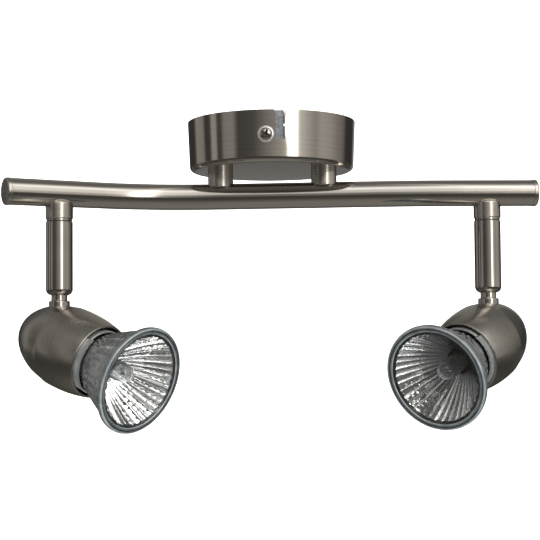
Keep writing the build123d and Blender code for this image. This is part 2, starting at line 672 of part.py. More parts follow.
def holder_strap(side):
    """U strap: two curved legs that stand out of the mouth, joined behind the lampholder."""
    front = SHELL_MOUTH_DISTANCE + STRAP_REACH
    rear = holder_rear - STRAP_THICKNESS
    legs = post(strap_radius, holder_rear, front)
    legs -= post(strap_radius - STRAP_THICKNESS, holder_rear - 1, front + 1)
    back = post(strap_radius, rear, holder_rear)
    band = Pos(0, 0, (front + rear) / 2) * Box(4 * strap_radius, STRAP_WIDTH, front - rear + 2)
    strap = (legs + back) & band
    for turn in (-1, 1):
        hole = post(HOLDER_SCREW_DIAMETER / 2, rear - 1, holder_rear + 1)
        strap -= Pos(0, turn * HOLDER_SCREW_SPACING / 2, 0) * hole
    return on_lamp_axis(side, strap)


def holder_ring(side):
    """Spring ring inside the strap's legs, round the neck of the lamp."""
    radius = strap_radius - STRAP_THICKNESS
    front = SHELL_MOUTH_DISTANCE + RING_REACH
    inner = radius - RING_WALL
    outline = [(inner, front - RING_LENGTH), (radius, front - RING_LENGTH), (radius, front), (inner, front)]
    rounds = [((inner, front), RING_EDGE_RADIUS), ((radius, front), RING_EDGE_RADIUS)]
    return on_lamp_axis(side, turned(outline, rounds))


def lampholder(side):
    """Ceramic holder: a face with two bayonet slots over a pocket for the pin heads."""
    body = post(HOLDER_DIAMETER / 2, holder_rear, holder_face)
    pocket_top = holder_face - HOLDER_FACE_THICKNESS
    pocket_radius = (PIN_SPACING + PIN_HEAD_DIAMETER) / 2 + HOLDER_POCKET_MARGIN
    body -= post(pocket_radius, pocket_top - HOLDER_POCKET_DEPTH, pocket_top)
    low = pocket_top - 0.5
    high = holder_face + 0.5
    shank_slot = PIN_DIAMETER + 2 * BAYONET_CLEARANCE
    entry = PIN_HEAD_DIAMETER + 2 * BAYONET_CLEARANCE
    section = Pos(PIN_SPACING / 2, (low + high) / 2) * Rectangle(shank_slot, high - low)
    on_circle = Pos(PIN_SPACING / 2, 0, 0)
    arc = revolve(Plane.XZ * section, Axis.Z, BAYONET_TURN)
    keyhole = arc + on_circle * post(shank_slot / 2, low, high)
    keyhole += Rot(0, 0, BAYONET_TURN) * on_circle * post(entry / 2, low, high)
    for turn in (0, 180):
        body -= Rot(0, 0, turn) * keyhole
    for turn in (-1, 1):
        hole = post(HOLDER_SCREW_DIAMETER / 2, holder_rear - 1, holder_rear + HOLDER_BACK_THICKNESS - 0.4)
        body -= Pos(0, turn * HOLDER_SCREW_SPACING / 2, 0) * hole
    return on_lamp_axis(side, body)


def holder_contacts(side):
    floor = holder_rear + HOLDER_BACK_THICKNESS
    leaf = Pos(PIN_SPACING / 2, 0, floor + CONTACT_THICKNESS / 2) * Box(3.6, 5.0, CONTACT_THICKNESS)
    return [on_lamp_axis(side, Rot(0, 0, turn) * leaf) for turn in (0, 180)]


def holder_screws(side):
    head = HOLDER_SCREW_HEAD / 2
    shank = HOLDER_SCREW_DIAMETER / 2
    seat = holder_rear - STRAP_THICKNESS
    tip = holder_rear + HOLDER_BACK_THICKNESS - 0.6
    bottom = seat - HOLDER_SCREW_HEAD_HEIGHT
    outline = [(0, bottom), (head, bottom), (head, seat), (shank, seat), (shank, tip), (0, tip)]
    screw = turned(outline, [((head, bottom), 0.6)])
    return [on_lamp_axis(side, Pos(0, turn * HOLDER_SCREW_SPACING / 2, 0) * screw) for turn in (-1, 1)]


# ---------------------------------------------------------------- lamps
def lamp_outer_arc():
    """Outside of the glass bowl as (radius, place on the axis)."""
    rim = LAMP_DIAMETER / 2 - LAMP_RIM_STEP
    start = (rim, lamp_front - LAMP_RIM_THICKNESS)
    middle = (LAMP_BOWL_MIDDLE[0], lamp_front - LAMP_BOWL_MIDDLE[1])
    end = (LAMP_BOWL_REAR_DIAMETER / 2, lamp_front - LAMP_BOWL_DEPTH)
    return ThreePointArc(start, middle, end)


def lamp_reflector(side):
    """Glass bowl with its stepped rim, the seat of the cover glass and the apex bore."""
    outer = lamp_outer_arc()
    rim = LAMP_DIAMETER / 2
    mouth = LAMP_APERTURE_DIAMETER / 2
    seat = mouth + COVER_GLASS_SEAT
    seat_z = lamp_front - COVER_GLASS_RECESS - COVER_GLASS_THICKNESS
    apex = LAMP_APEX_BORE / 2
    rear = lamp_front - LAMP_BOWL_DEPTH
    inner_middle = (LAMP_BOWL_MIDDLE[0] - 2 * LAMP_GLASS, lamp_front - LAMP_BOWL_MIDDLE[1] + LAMP_GLASS)
    inner = ThreePointArc((mouth, seat_z), inner_middle, (apex, rear + LAMP_GLASS))
    rim_corner = (rim, lamp_front - LAMP_RIM_THICKNESS)
    front_steps = Polyline(inner @ 0, (seat, seat_z), (seat, lamp_front), (rim, lamp_front), rim_corner,
                           outer @ 0)
    outline = [outer, Line(outer @ 1, (apex, rear)), Line((apex, rear), inner @ 1), inner, front_steps]
    face = make_face(outline)
    for point, radius in (((rim, lamp_front), LAMP_RIM_RADIUS), (rim_corner, LAMP_RIM_RADIUS),
                          ((seat, lamp_front), LAMP_SEAT_RADIUS)):
        face = fillet(face.vertices().sort_by_distance((*point, 0))[0], radius)
    return on_lamp_axis(side, revolve(Plane.XZ * face, Axis.Z))


def lamp_cover_glass(side):
    front = lamp_front - COVER_GLASS_RECESS
    radius = LAMP_APERTURE_DIAMETER / 2 + COVER_GLASS_SEAT
    return on_lamp_axis(side, post(radius, front - COVER_GLASS_THICKNESS, front))


def lamp_base(side):
    """Ceramic base cemented behind the bowl."""
    front = lamp_front - LAMP_BOWL_DEPTH
    wide = LAMP_BASE_DIAMETER / 2
    narrow = LAMP_BASE_GROOVE_DIAMETER / 2
    groove_rear = base_rear + LAMP_BASE_FOOT_LENGTH
    groove_front = groove_rear + LAMP_BASE_GROOVE_LENGTH
    outline = [(0, base_rear), (wide, base_rear), (wide, groove_rear), (narrow, groove_rear),
               (narrow, groove_front), (wide, groove_front), (wide, front), (0, front)]
    rounds = [((wide, base_rear), LAMP_BASE_EDGE_RADIUS), ((wide, groove_rear), LAMP_BASE_EDGE_RADIUS),
              ((wide, groove_front), LAMP_BASE_EDGE_RADIUS)]
    base = turned(outline, rounds)
    base -= post(CAPSULE_DIAMETER / 2, front - CAPSULE_SEAT_DEPTH, front + 1)
    for turn in (0, 180):
        hole = Pos(PIN_SPACING / 2, 0, 0) * post(PIN_DIAMETER / 2, base_rear - 1, base_rear + PIN_SEAT_DEPTH)
        base -= Rot(0, 0, turn) * hole
    return on_lamp_axis(side, base)


def lamp_pins(side):
    shank = PIN_DIAMETER / 2
    head = PIN_HEAD_DIAMETER / 2
    head_top = base_rear - PIN_SHANK_LENGTH
    bottom = head_top - PIN_HEAD_HEIGHT
    outline = [(0, bottom), (head, bottom), (head, head_top), (shank, head_top),
               (shank, base_rear + PIN_SEAT_DEPTH), (0, base_rear + PIN_SEAT_DEPTH)]
    pin = turned(outline, [((head, bottom), 0.5), ((head, head_top), 0.3)])
    return [on_lamp_axis(side, Rot(0, 0, turn) * Pos(PIN_SPACING / 2, 0, 0) * pin) for turn in (0, 180)]


def lamp_capsule(side):
    """Quartz capsule: a hollow tube with a domed front."""
    radius = CAPSULE_DIAMETER / 2
    rear = lamp_front - LAMP_BOWL_DEPTH - CAPSULE_SEAT_DEPTH
    tip = lamp_front - CAPSULE_FRONT_DEPTH
    outside = post(radius, rear, tip - radius) + Pos(0, 0, tip - radius) * Sphere(radius)
    inner = radius - CAPSULE_WALL
    hollow_rear = rear + CAPSULE_FOOT
    hollow = post(inner, hollow_rear, tip - radius) + Pos(0, 0, tip - radius) * Sphere(inner)
    return on_lamp_axis(side, outside - hollow)


def lamp_filament(side):
    """A short tungsten coil, drawn as a rod across the axis, on two lead wires."""
    rear = lamp_front - LAMP_BOWL_DEPTH - CAPSULE_SEAT_DEPTH + CAPSULE_FOOT
    centre = lamp_front - CAPSULE_FRONT_DEPTH - CAPSULE_DIAMETER / 2
    coil = Pos(0, 0, centre) * Rot(0, 90, 0) * Cylinder(FILAMENT_DIAMETER / 2, FILAMENT_LENGTH)
    for turn in (-1, 1):
        coil += Pos(turn * (FILAMENT_LENGTH / 2 - FILAMENT_LEAD), 0, 0) * post(FILAMENT_LEAD, rear, centre)
    return on_lamp_axis(side, coil)


# ---------------------------------------------------------------- output
def write(name, shape):
    """Write one node, a single solid or a group of like pieces."""
    export_step(Compound(shape) if isinstance(shape, list) else shape, os.path.join("parts", name + ".step"))


os.makedirs("parts", exist_ok=True)

SINGLE_NODES = [canopy, ceiling_plate, canopy_screws, canopy_cup_washers, terminal_block, terminal_screws,
                earth_screw, stud_washers, stud_nuts, bar_tube]
SIDED_NODES = [stud, end_cap, collar, swivel_tube, swivel_ring, stem, pressure_sleeve, spring_washer,
               ball_neck, neck_nut, head_shell, holder_strap, holder_ring, lampholder, holder_contacts,
               holder_screws, lamp_reflector, lamp_cover_glass, lamp_base, lamp_pins, lamp_capsule,
               lamp_filament]

for make in SINGLE_NODES:
    write(make.__name__, make())
for make in SIDED_NODES:
    for side, suffix in ((-1, "left"), (1, "right")):
        write(f"{make.__name__}_{suffix}", make(side))
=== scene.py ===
import json
import math
import random

import bmesh
import bpy
from mathutils import Matrix, Vector


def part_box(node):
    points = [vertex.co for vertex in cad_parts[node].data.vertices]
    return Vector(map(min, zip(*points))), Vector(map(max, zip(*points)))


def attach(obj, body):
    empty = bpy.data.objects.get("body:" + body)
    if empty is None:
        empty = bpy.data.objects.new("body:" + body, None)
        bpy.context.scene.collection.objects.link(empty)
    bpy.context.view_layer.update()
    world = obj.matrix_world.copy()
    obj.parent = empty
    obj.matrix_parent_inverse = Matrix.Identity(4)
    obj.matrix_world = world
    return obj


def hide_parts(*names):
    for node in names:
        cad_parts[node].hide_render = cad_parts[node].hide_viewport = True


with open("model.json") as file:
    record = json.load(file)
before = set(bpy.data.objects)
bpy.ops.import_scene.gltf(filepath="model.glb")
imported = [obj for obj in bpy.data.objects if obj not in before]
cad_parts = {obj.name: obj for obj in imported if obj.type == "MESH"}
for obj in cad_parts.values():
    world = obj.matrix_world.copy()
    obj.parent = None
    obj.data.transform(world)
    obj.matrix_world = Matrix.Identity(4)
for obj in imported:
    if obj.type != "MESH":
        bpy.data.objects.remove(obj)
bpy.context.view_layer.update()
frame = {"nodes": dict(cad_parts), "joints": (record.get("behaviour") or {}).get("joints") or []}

# ------------------------------------------------------------------ camera
# A long lens at lamp height, a little left of the fixture, looking slightly up. The whole bar just
# fills the width of a square frame.
CAMERA_PLACE = (-0.0451, -0.6089, -0.0994)
CAMERA_TURN = 4.12
CAMERA_LIFT = 2.56
CAMERA_ROLL = -0.47

camera_lens = bpy.data.cameras.new("camera")
camera_lens.sensor_width = 36
camera_lens.lens = 83.3
camera = bpy.data.objects.new("camera", camera_lens)
bpy.context.scene.collection.objects.link(camera)
turn = Matrix.Rotation(math.radians(-CAMERA_TURN), 4, "Z")
lift = Matrix.Rotation(math.radians(90 + CAMERA_LIFT), 4, "X")
roll = Matrix.Rotation(math.radians(CAMERA_ROLL), 4, "Z")
camera.matrix_world = Matrix.Translation(CAMERA_PLACE) @ turn @ lift @ roll
bpy.context.scene.camera = camera
bpy.context.scene.view_settings.view_transform = "Standard"
bpy.context.scene.cycles.use_denoising = True


# ------------------------------------------------------------------ studio
# A pale floor that sweeps up behind the fixture, plain soft light, and the dark room with its tall strip
# light and wide overhead sheet that the bright metal mirrors.
FLOOR_HEIGHT = -0.42
FLOOR_FRONT = -3.0
SWEEP_START = 1.0
SWEEP_RADIUS = 0.6
SWEEP_STEPS = 12
WALL_TOP = 2.5
HALF_WIDTH = 4.0
LIGHT_TONE = (1.0, 0.99, 0.97)


def put(tree, kind, settings=(), **inputs):
    """Adds a node. Settings are its properties; inputs are values, or sockets that feed it (n6 is inputs[6])."""
    made = tree.nodes.new(kind)
    for name, value in dict(settings).items():
        setattr(made, name, value)
    for name, value in inputs.items():
        numbered = name[0] == "n" and name[1:].isdigit()
        socket = made.inputs[int(name[1:]) if numbered else name.replace("_", " ")]
        if isinstance(value, bpy.types.NodeSocket):
            tree.links.new(value, socket)
        else:
            socket.default_value = value
    return made


def sums(tree, operation, *terms):
    """One Math node, and its result."""
    made = tree.nodes.new("ShaderNodeMath")
    made.operation = operation
    for socket, term in zip(made.inputs, terms):
        if isinstance(term, bpy.types.NodeSocket):
            tree.links.new(term, socket)
        else:
            socket.default_value = term
    return made.outputs[0]


def between(tree, value, low, high, out_low=0.0, out_high=1.0):
    """A smooth step of a value from one range to another."""
    made = put(tree, "ShaderNodeMapRange", {"interpolation_type": "SMOOTHSTEP"}, Value=value, From_Min=low,
               From_Max=high, To_Min=out_low, To_Max=out_high)
    return made.outputs[0]


def ramp(tree, value, stops):
    """A colour ramp through (place, colour) stops; a single number stands for a grey."""
    made = put(tree, "ShaderNodeValToRGB", n0=value)
    points = made.color_ramp.elements
    for index, (place, colour) in enumerate(stops):
        point = points[index] if index < 2 else points.new(place)
        point.position = place
        point.color = (*((colour,) * 3 if isinstance(colour, (int, float)) else colour), 1.0)
    return made.outputs[0]


def two_tones(tree, value, low, high):
    """Colours for the low and high places of a noise."""
    return ramp(tree, value, [(0.3, low), (0.7, high)])


def mixed(tree, share, first, second, blend="MIX"):
    """A share of the second colour over the first."""
    return put(tree, "ShaderNodeMix", {"data_type": "RGBA", "blend_type": blend}, n0=share, n6=first,
               n7=second).outputs[2]


def noise(tree, scale, detail):
    """Noise through the solid, so many to the metre."""
    place = put(tree, "ShaderNodeTexCoord").outputs["Object"]
    return put(tree, "ShaderNodeTexNoise", Vector=place, Scale=scale, Detail=detail).outputs["Fac"]


studio = bpy.data.worlds.new("studio")
studio.use_nodes = True
bpy.context.scene.world = studio
sky = studio.node_tree
sky.nodes.clear()
looking = put(sky, "ShaderNodeSeparateXYZ", Vector=put(sky, "ShaderNodeTexCoord").outputs["Generated"])
side_angle = sums(sky, "ARCTAN2", looking.outputs["X"], sums(sky, "MULTIPLY", looking.outputs["Y"], -1.0))
rise = sums(sky, "MULTIPLY", sums(sky, "ARCSINE", looking.outputs["Z"]), 180 / math.pi)
turned_share = sums(sky, "ADD", sums(sky, "DIVIDE", side_angle, 2 * math.pi), 0.5)


def at(degrees):
    """Place on the room's ramp of something so many degrees to the right of straight in front."""
    return 0.5 + degrees / 360


# The room's brightness by direction, in degrees to the right: dark walls, paler panels and the strip light.
ROOM = [(-165, 0.04), (-136, 0.05), (-129, 0.34), (-112, 0.30), (-107, 0.06), (-97, 0.07), (-93, 0.42),
        (-86, 0.40), (-83, 0.08), (-77, 0.08), (-72, 0.30), (-58, 0.32), (-51, 0.08), (-28, 0.10),
        (-8, 0.28), (8, 0.44), (16.5, 0.62), (19, 3.4), (30.5, 3.4), (33, 0.85), (46, 0.55), (58, 0.36),
        (68, 0.50), (84, 0.44), (97, 0.30), (110, 0.22), (120, 0.05), (146, 0.04), (152, 0.28)]
ROOM_TINT = (1.0, 0.95, 0.89, 1.0)
CEILING = (0.17, 0.165, 0.155, 1.0)
# The overhead sheet's strength by height, and the tones under the horizon; 1 is straight up or the horizon.
SHEET = [(0.08, 0.0), (0.15, 0.42), (0.36, 0.55), (0.48, 1.0), (0.58, 1.0), (0.68, 0.32), (0.84, 0.06)]
SHEET_LIGHT = (1.4, 1.39, 1.36, 1.0)
SHEET_CENTRE = 18
BELOW = [(0.0, (0.27, 0.265, 0.25)), (0.33, (0.25, 0.24, 0.22)), (0.6, (0.10, 0.096, 0.087)),
         (0.8, (0.06, 0.058, 0.053)), (0.88, (0.10, 0.098, 0.094))]
room = ramp(sky, turned_share, [(at(degrees), level) for degrees, level in ROOM])
lit_room = mixed(sky, 1.0, room, ROOM_TINT, "MULTIPLY")
facing = sums(sky, "ABSOLUTE", sums(sky, "SUBTRACT", turned_share, at(SHEET_CENTRE)))
in_front = between(sky, facing, 0.10, 0.19, 1.0, 0.0)
sheet = ramp(sky, sums(sky, "DIVIDE", rise, 90.0), SHEET)
sheet = sums(sky, "MULTIPLY", sheet, between(sky, in_front, 0, 1, 0.05, 1.0))
lit_room = mixed(sky, between(sky, rise, 10, 60, 0.0, 0.8), lit_room, CEILING)
below = ramp(sky, sums(sky, "ADD", sums(sky, "DIVIDE", rise, 90.0), 1.0), BELOW)
lit_room = mixed(sky, between(sky, rise, -9, -4, 1.0, 0.0), lit_room, below)
lit_room = mixed(sky, sheet, lit_room, SHEET_LIGHT, "ADD")
seen = put(sky, "ShaderNodeLightPath").outputs["Is Camera Ray"]
behind = put(sky, "ShaderNodeBackground", Color=(1.0, 1.0, 1.0, 1.0), Strength=1.0)
mirrored = put(sky, "ShaderNodeBackground", Color=lit_room, Strength=1.0)
both = put(sky, "ShaderNodeMixShader", n0=seen, n1=mirrored.outputs[0], n2=behind.outputs[0])
put(sky, "ShaderNodeOutputWorld", Surface=both.outputs[0])


def new_material(name):
    """An empty node material and its tree."""
    material = bpy.data.materials.new(name)
    material.use_nodes = True
    material.node_tree.nodes.clear()
    return material, material.node_tree


def finish_material(tree, height=None, depth=0.0, distance=0.0001, **inputs):
    """The Principled shader at the end of a material, with a bump where a height is given."""
    shader = put(tree, "ShaderNodeBsdfPrincipled", **inputs)
    if height is not None:
        bump = put(tree, "ShaderNodeBump", Strength=depth, Distance=distance, Height=height)
        tree.links.new(bump.outputs[0], shader.inputs["Normal"])
    put(tree, "ShaderNodeOutputMaterial", Surface=shader.outputs[0])


def mottled(name, scale, low, high, rough, detail=3.0, **inputs):
    """A plain material whose tone and roughness wander with one noise, which also feeds any bump."""
    material, tree = new_material(name)
    spread = noise(tree, scale, detail)
    if "depth" in inputs:
        inputs["height"] = spread
    finish_material(tree, Roughness=between(tree, spread, 0.3, 0.7, *rough),
                    Base_Color=two_tones(tree, spread, low, high), **inputs)
    return material


paper, tree = new_material("backdrop_paper")
paper_colour = two_tones(tree, noise(tree, 3.0, 2.0), (0.93, 0.93, 0.93), (0.96, 0.96, 0.96))
finish_material(tree, Base_Color=paper_colour, Roughness=0.9, Emission_Color=(1, 1, 1, 1),
                Emission_Strength=0.75)

sweep_profile = [(FLOOR_FRONT, FLOOR_HEIGHT), (SWEEP_START, FLOOR_HEIGHT)]
for step in range(1, SWEEP_STEPS + 1):
    bend = math.radians(90 * step / SWEEP_STEPS)
    sweep_profile.append((SWEEP_START + SWEEP_RADIUS * math.sin(bend),
                          FLOOR_HEIGHT + SWEEP_RADIUS * (1 - math.cos(bend))))
sweep_profile.append((SWEEP_START + SWEEP_RADIUS, WALL_TOP))
sweep_mesh = bpy.data.meshes.new("backdrop")
sweep_points = [(x, y, z) for y, z in sweep_profile for x in (-HALF_WIDTH, HALF_WIDTH)]
sweep_faces = [(2 * i, 2 * i + 1, 2 * i + 3, 2 * i + 2) for i in range(len(sweep_profile) - 1)]
sweep_mesh.from_pydata(sweep_points, [], sweep_faces)
for face in sweep_mesh.polygons:
    face.use_smooth = True
backdrop = bpy.data.objects.new("backdrop", sweep_mesh)
bpy.context.scene.collection.objects.link(backdrop)
sweep_mesh.materials.append(paper)
backdrop.visible_glossy = False
backdrop.visible_transmission = False


def soft_light(name, place, aim, size, power):
    """A square soft light that shines on a point, and isn't itself mirrored."""
    data = bpy.data.lights.new(name, "AREA")
    data.shape = "RECTANGLE"
    data.size, data.size_y = size
    data.energy = power
    data.color = LIGHT_TONE
    lamp = bpy.data.objects.new(name, data)
    lamp.matrix_world = (Matrix.Translation(place)
                         @ (Vector(aim) - Vector(place)).to_track_quat("-Z", "Y").to_matrix().to_4x4())
    lamp.visible_glossy = False
    lamp.visible_camera = False
    bpy.context.scene.collection.objects.link(lamp)


soft_light("overhead_light", (0.2, -0.7, 1.0), (0, 0, -0.06), (0.9, 0.6), 9)
soft_light("strip_light", (0.55, -1.1, 0.0), (0, 0, -0.08), (0.2, 1.0), 5)

# ------------------------------------------------------------------ satin nickel parts
# Canopy, bar, studs, end caps, collars and lamp shells: steel and brass pressings and tubes, satin
# brushed and nickel plated. The canopy and shells are brushed round on a lathe, the bar along its length.
SATIN = (0.57, 0.54, 0.495)
SATIN_DARK = (0.53, 0.50, 0.455)
SHELL_SATIN = (0.50, 0.475, 0.435)
SHELL_DARK = (0.46, 0.435, 0.395)
# A lighter tone mixed into sharp edges: a painted highlight.
SATIN_EDGE_HIGHLIGHT = (0.74, 0.70, 0.64, 1.0)
FINE_SCRATCHES = 7000.0


def new_group(name, inputs, outputs):
    """An empty shader group with named inputs (name, kind, default) and outputs (name, kind)."""
    group = bpy.data.node_groups.new(name, "ShaderNodeTree")
    for title, kind, default in inputs:
        socket = group.interface.new_socket(title, in_out="INPUT", socket_type=kind)
        socket.default_value = default
    for title, kind in outputs:
        group.interface.new_socket(title, in_out="OUTPUT", socket_type=kind)
    return group, put(group, "NodeGroupInput").outputs, put(group, "NodeGroupOutput").inputs


def vector_sum(tree, operation, *terms):
    """One Vector Math node."""
    made = tree.nodes.new("ShaderNodeVectorMath")
    made.operation = operation
    for socket, term in zip(made.inputs, terms):
        if isinstance(term, bpy.types.NodeSocket):
            tree.links.new(term, socket)
        else:
            socket.default_value = term
    return made


# Brushing round an axis: fine scratches that run round it, and the soft bands between passes.
lathe_brushing, given, result = new_group(
    "lathe_brushing",
    [("Axis Point", "NodeSocketVector", (0, 0, 0)), ("Axis Direction", "NodeSocketVector", (0, 0, 1)),
     ("Scratches per Metre", "NodeSocketFloat", 3500.0), ("Scratch Length", "NodeSocketFloat", 2.5)],
    [("Scratches", "NodeSocketFloat"), ("Bands", "NodeSocketFloat"), ("Cloud", "NodeSocketFloat")])
surface_point = put(lathe_brushing, "ShaderNodeTexCoord").outputs["Object"]
from_axis = vector_sum(lathe_brushing, "SUBTRACT", surface_point, given["Axis Point"]).outputs[0]
along = vector_sum(lathe_brushing, "DOT_PRODUCT", from_axis, given["Axis Direction"]).outputs["Value"]
on_axis = vector_sum(lathe_brushing, "SCALE", given["Axis Direction"])
lathe_brushing.links.new(along, on_axis.inputs["Scale"])
outward = vector_sum(lathe_brushing, "SUBTRACT", from_axis, on_axis.outputs[0]).outputs[0]
spoke = vector_sum(lathe_brushing, "LENGTH", outward).outputs["Value"]
outward = vector_sum(lathe_brushing, "NORMALIZE", outward).outputs[0]
across = sums(lathe_brushing, "ADD", along, spoke)
across = sums(lathe_brushing, "MULTIPLY", across, given["Scratches per Metre"])
round_about = vector_sum(lathe_brushing, "SCALE", outward)
lathe_brushing.links.new(given["Scratch Length"], round_about.inputs["Scale"])
parted = put(lathe_brushing, "ShaderNodeCombineXYZ", X=across)
stretched = vector_sum(lathe_brushing, "ADD", round_about.outputs[0], parted.outputs[0]).outputs[0]
fine = put(lathe_brushing, "ShaderNodeTexNoise", Vector=stretched, Scale=1.0, Detail=3.0, Roughness=0.7)
wide_place = vector_sum(lathe_brushing, "MULTIPLY", stretched, (0.12, 1.0, 1.0)).outputs[0]
wide = put(lathe_brushing, "ShaderNodeTexNoise", Vector=wide_place, Scale=1.0, Detail=1.0)
cloud = put(lathe_brushing, "ShaderNodeTexNoise", Vector=surface_point, Scale=55.0, Detail=2.0)
lathe_brushing.links.new(fine.outputs["Fac"], result["Scratches"])
lathe_brushing.links.new(wide.outputs["Fac"], result["Bands"])
lathe_brushing.links.new(cloud.outputs["Fac"], result["Cloud"])

# Brushing along a bent tube: the scratches follow lines of equal slope, which run along it.
tube_brushing, given, result = new_group(
    "tube_brushing",
    [("Scratch Count", "NodeSocketFloat", 60.0), ("Scratch Shortness", "NodeSocketFloat", 28.0)],
    [("Scratches", "NodeSocketFloat"), ("Bands", "NodeSocketFloat"), ("Cloud", "NodeSocketFloat")])
coordinates = put(tube_brushing, "ShaderNodeTexCoord").outputs
slope = sums(tube_brushing, "ARCCOSINE",
             put(tube_brushing, "ShaderNodeSeparateXYZ", Vector=coordinates["Normal"]).outputs["Z"])
position = put(tube_brushing, "ShaderNodeSeparateXYZ", Vector=coordinates["Object"])
lengthwise = sums(tube_brushing, "MULTIPLY", position.outputs["X"], given["Scratch Shortness"])
girth = sums(tube_brushing, "MULTIPLY", slope, given["Scratch Count"])
stretched = put(tube_brushing, "ShaderNodeCombineXYZ", X=lengthwise, Y=girth).outputs[0]
fine = put(tube_brushing, "ShaderNodeTexNoise", Vector=stretched, Scale=1.0, Detail=3.0, Roughness=0.7)
wide_place = vector_sum(tube_brushing, "MULTIPLY", stretched, (0.5, 0.08, 1.0)).outputs[0]
wide = put(tube_brushing, "ShaderNodeTexNoise", Vector=wide_place, Scale=1.0, Detail=1.0)
cloud = put(tube_brushing, "ShaderNodeTexNoise", Vector=coordinates["Object"], Scale=45.0, Detail=2.0)
tube_brushing.links.new(fine.outputs["Fac"], result["Scratches"])
tube_brushing.links.new(wide.outputs["Fac"], result["Bands"])
tube_brushing.links.new(cloud.outputs["Fac"], result["Cloud"])

# Painted edge highlight: a mask of where the surface turns sharply. The materials colour the plating lighter
# there in place of the highlights on rounded edges.
painted_edge_highlight, given, result = new_group(
    "painted_edge_highlight", [("Width", "NodeSocketFloat", 0.0004)], [("Edge", "NodeSocketFloat")])
rounded = put(painted_edge_highlight, "ShaderNodeBevel", {"samples": 4}, Radius=given["Width"])
true_normal = put(painted_edge_highlight, "ShaderNodeNewGeometry").outputs["Normal"]
likeness = vector_sum(painted_edge_highlight, "DOT_PRODUCT", rounded.outputs[0], true_normal).outputs["Value"]
painted_edge_highlight.links.new(between(painted_edge_highlight, likeness, 0.80, 0.99, 1.0, 0.0), result["Edge"])


def group_node(tree, group, **inputs):
    """Places a group in a material with its own values, and gives its outputs."""
    made = put(tree, "ShaderNodeGroup", {"node_tree": group})
    for name, value in inputs.items():
        made.inputs[name.replace("_", " ")].default_value = value
    return made.outputs


def satin_nickel(name, brushing, rough, depth=0.14, light=SATIN, dark=SATIN_DARK, buffed=None, **inputs):
    """Satin nickel with one kind of brushing; buffed is the roughness of faces that look straight down."""
    material, tree = new_material(name)
    grain = group_node(tree, brushing, **inputs)
    edge = group_node(tree, painted_edge_highlight, Width=0.0004)["Edge"]
    # Sharp edges are coloured halfway to the lighter tone: a painted highlight.
    tone = mixed(tree, sums(tree, "MULTIPLY", edge, 0.5), two_tones(tree, grain["Bands"], dark, light),
                 SATIN_EDGE_HIGHLIGHT)
    wave = sums(tree, "ADD", sums(tree, "MULTIPLY", grain["Scratches"], 0.6),
                sums(tree, "MULTIPLY", grain["Cloud"], 0.4))
    roughness = between(tree, wave, 0.32, 0.68, *rough)
    if buffed is not None:
        normal = put(tree, "ShaderNodeTexCoord").outputs["Normal"]
        upward = put(tree, "ShaderNodeSeparateXYZ", Vector=normal).outputs["Z"]
        roughness = put(tree, "ShaderNodeMix", n0=between(tree, upward, -0.97, -0.80, 1.0, 0.0),
                        n2=roughness, n3=buffed).outputs[0]
    finish_material(tree, height=grain["Scratches"], depth=depth, distance=0.00005, Base_Color=tone,
                    Metallic=1.0, Roughness=roughness)
    return material


def finish_node(node, material):
    """Gives a CAD node its finish."""
    mesh = frame["nodes"][node].data
    mesh.materials.clear()
    mesh.materials.append(material)


def joint_axis(name):
    """Pivot point and direction of one joint."""
    joint = next(joint for joint in frame["joints"] if joint["name"] == name)
    return Vector(joint["pos_m"]), Vector(joint["axis"]).normalized()


def middle(node):
    """Centre of a node's box."""
    low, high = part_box(node)
    return (low + high) / 2


finish_node("canopy", satin_nickel("canopy_satin_nickel", lathe_brushing, rough=(0.08, 0.13), depth=0.05,
                                   buffed=0.05, Axis_Point=(0, 0, 0), Scratches_per_Metre=FINE_SCRATCHES,
                                   Scratch_Length=2.2))
finish_node("bar_tube", satin_nickel("bar_satin_nickel", tube_brushing, rough=(0.11, 0.18), depth=0.08))
for side in ("left", "right"):
    for node in ("stud", "collar"):
        centre = middle(f"{node}_{side}")
        upright_satin = satin_nickel(f"{node}_{side}_satin_nickel", lathe_brushing, rough=(0.17, 0.28),
                                     Axis_Point=(centre.x, centre.y, 0))
        finish_node(f"{node}_{side}", upright_satin)
    cap_satin = satin_nickel(f"end_cap_{side}_satin_nickel", lathe_brushing, rough=(0.18, 0.30),
                             Axis_Point=middle(f"end_cap_{side}"), Axis_Direction=(1, 0, 0))
    finish_node(f"end_cap_{side}", cap_satin)
    pivot, forward = joint_axis(f"lamp_twist_{side}")
    shell_satin = satin_nickel(f"shell_{side}_satin_nickel", lathe_brushing, rough=(0.21, 0.29), depth=0.03,
                               light=SHELL_SATIN, dark=SHELL_DARK, Axis_Point=pivot, Axis_Direction=forward,
                               Scratches_per_Metre=FINE_SCRATCHES, Scratch_Length=3.0)
    finish_node(f"head_shell_{side}", shell_satin)

# ------------------------------------------------------------------ polished nickel parts
# Stems, ball necks and swivel rings: brass turned on a lathe, polished and then nickel plated, with faint
# turning lines left round them.
POLISHED = (0.56, 0.53, 0.49)
POLISHED_DARK = (0.50, 0.47, 0.43)
# A lighter tone mixed into sharp edges: a painted highlight.
POLISHED_EDGE_HIGHLIGHT = (0.72, 0.69, 0.64, 1.0)


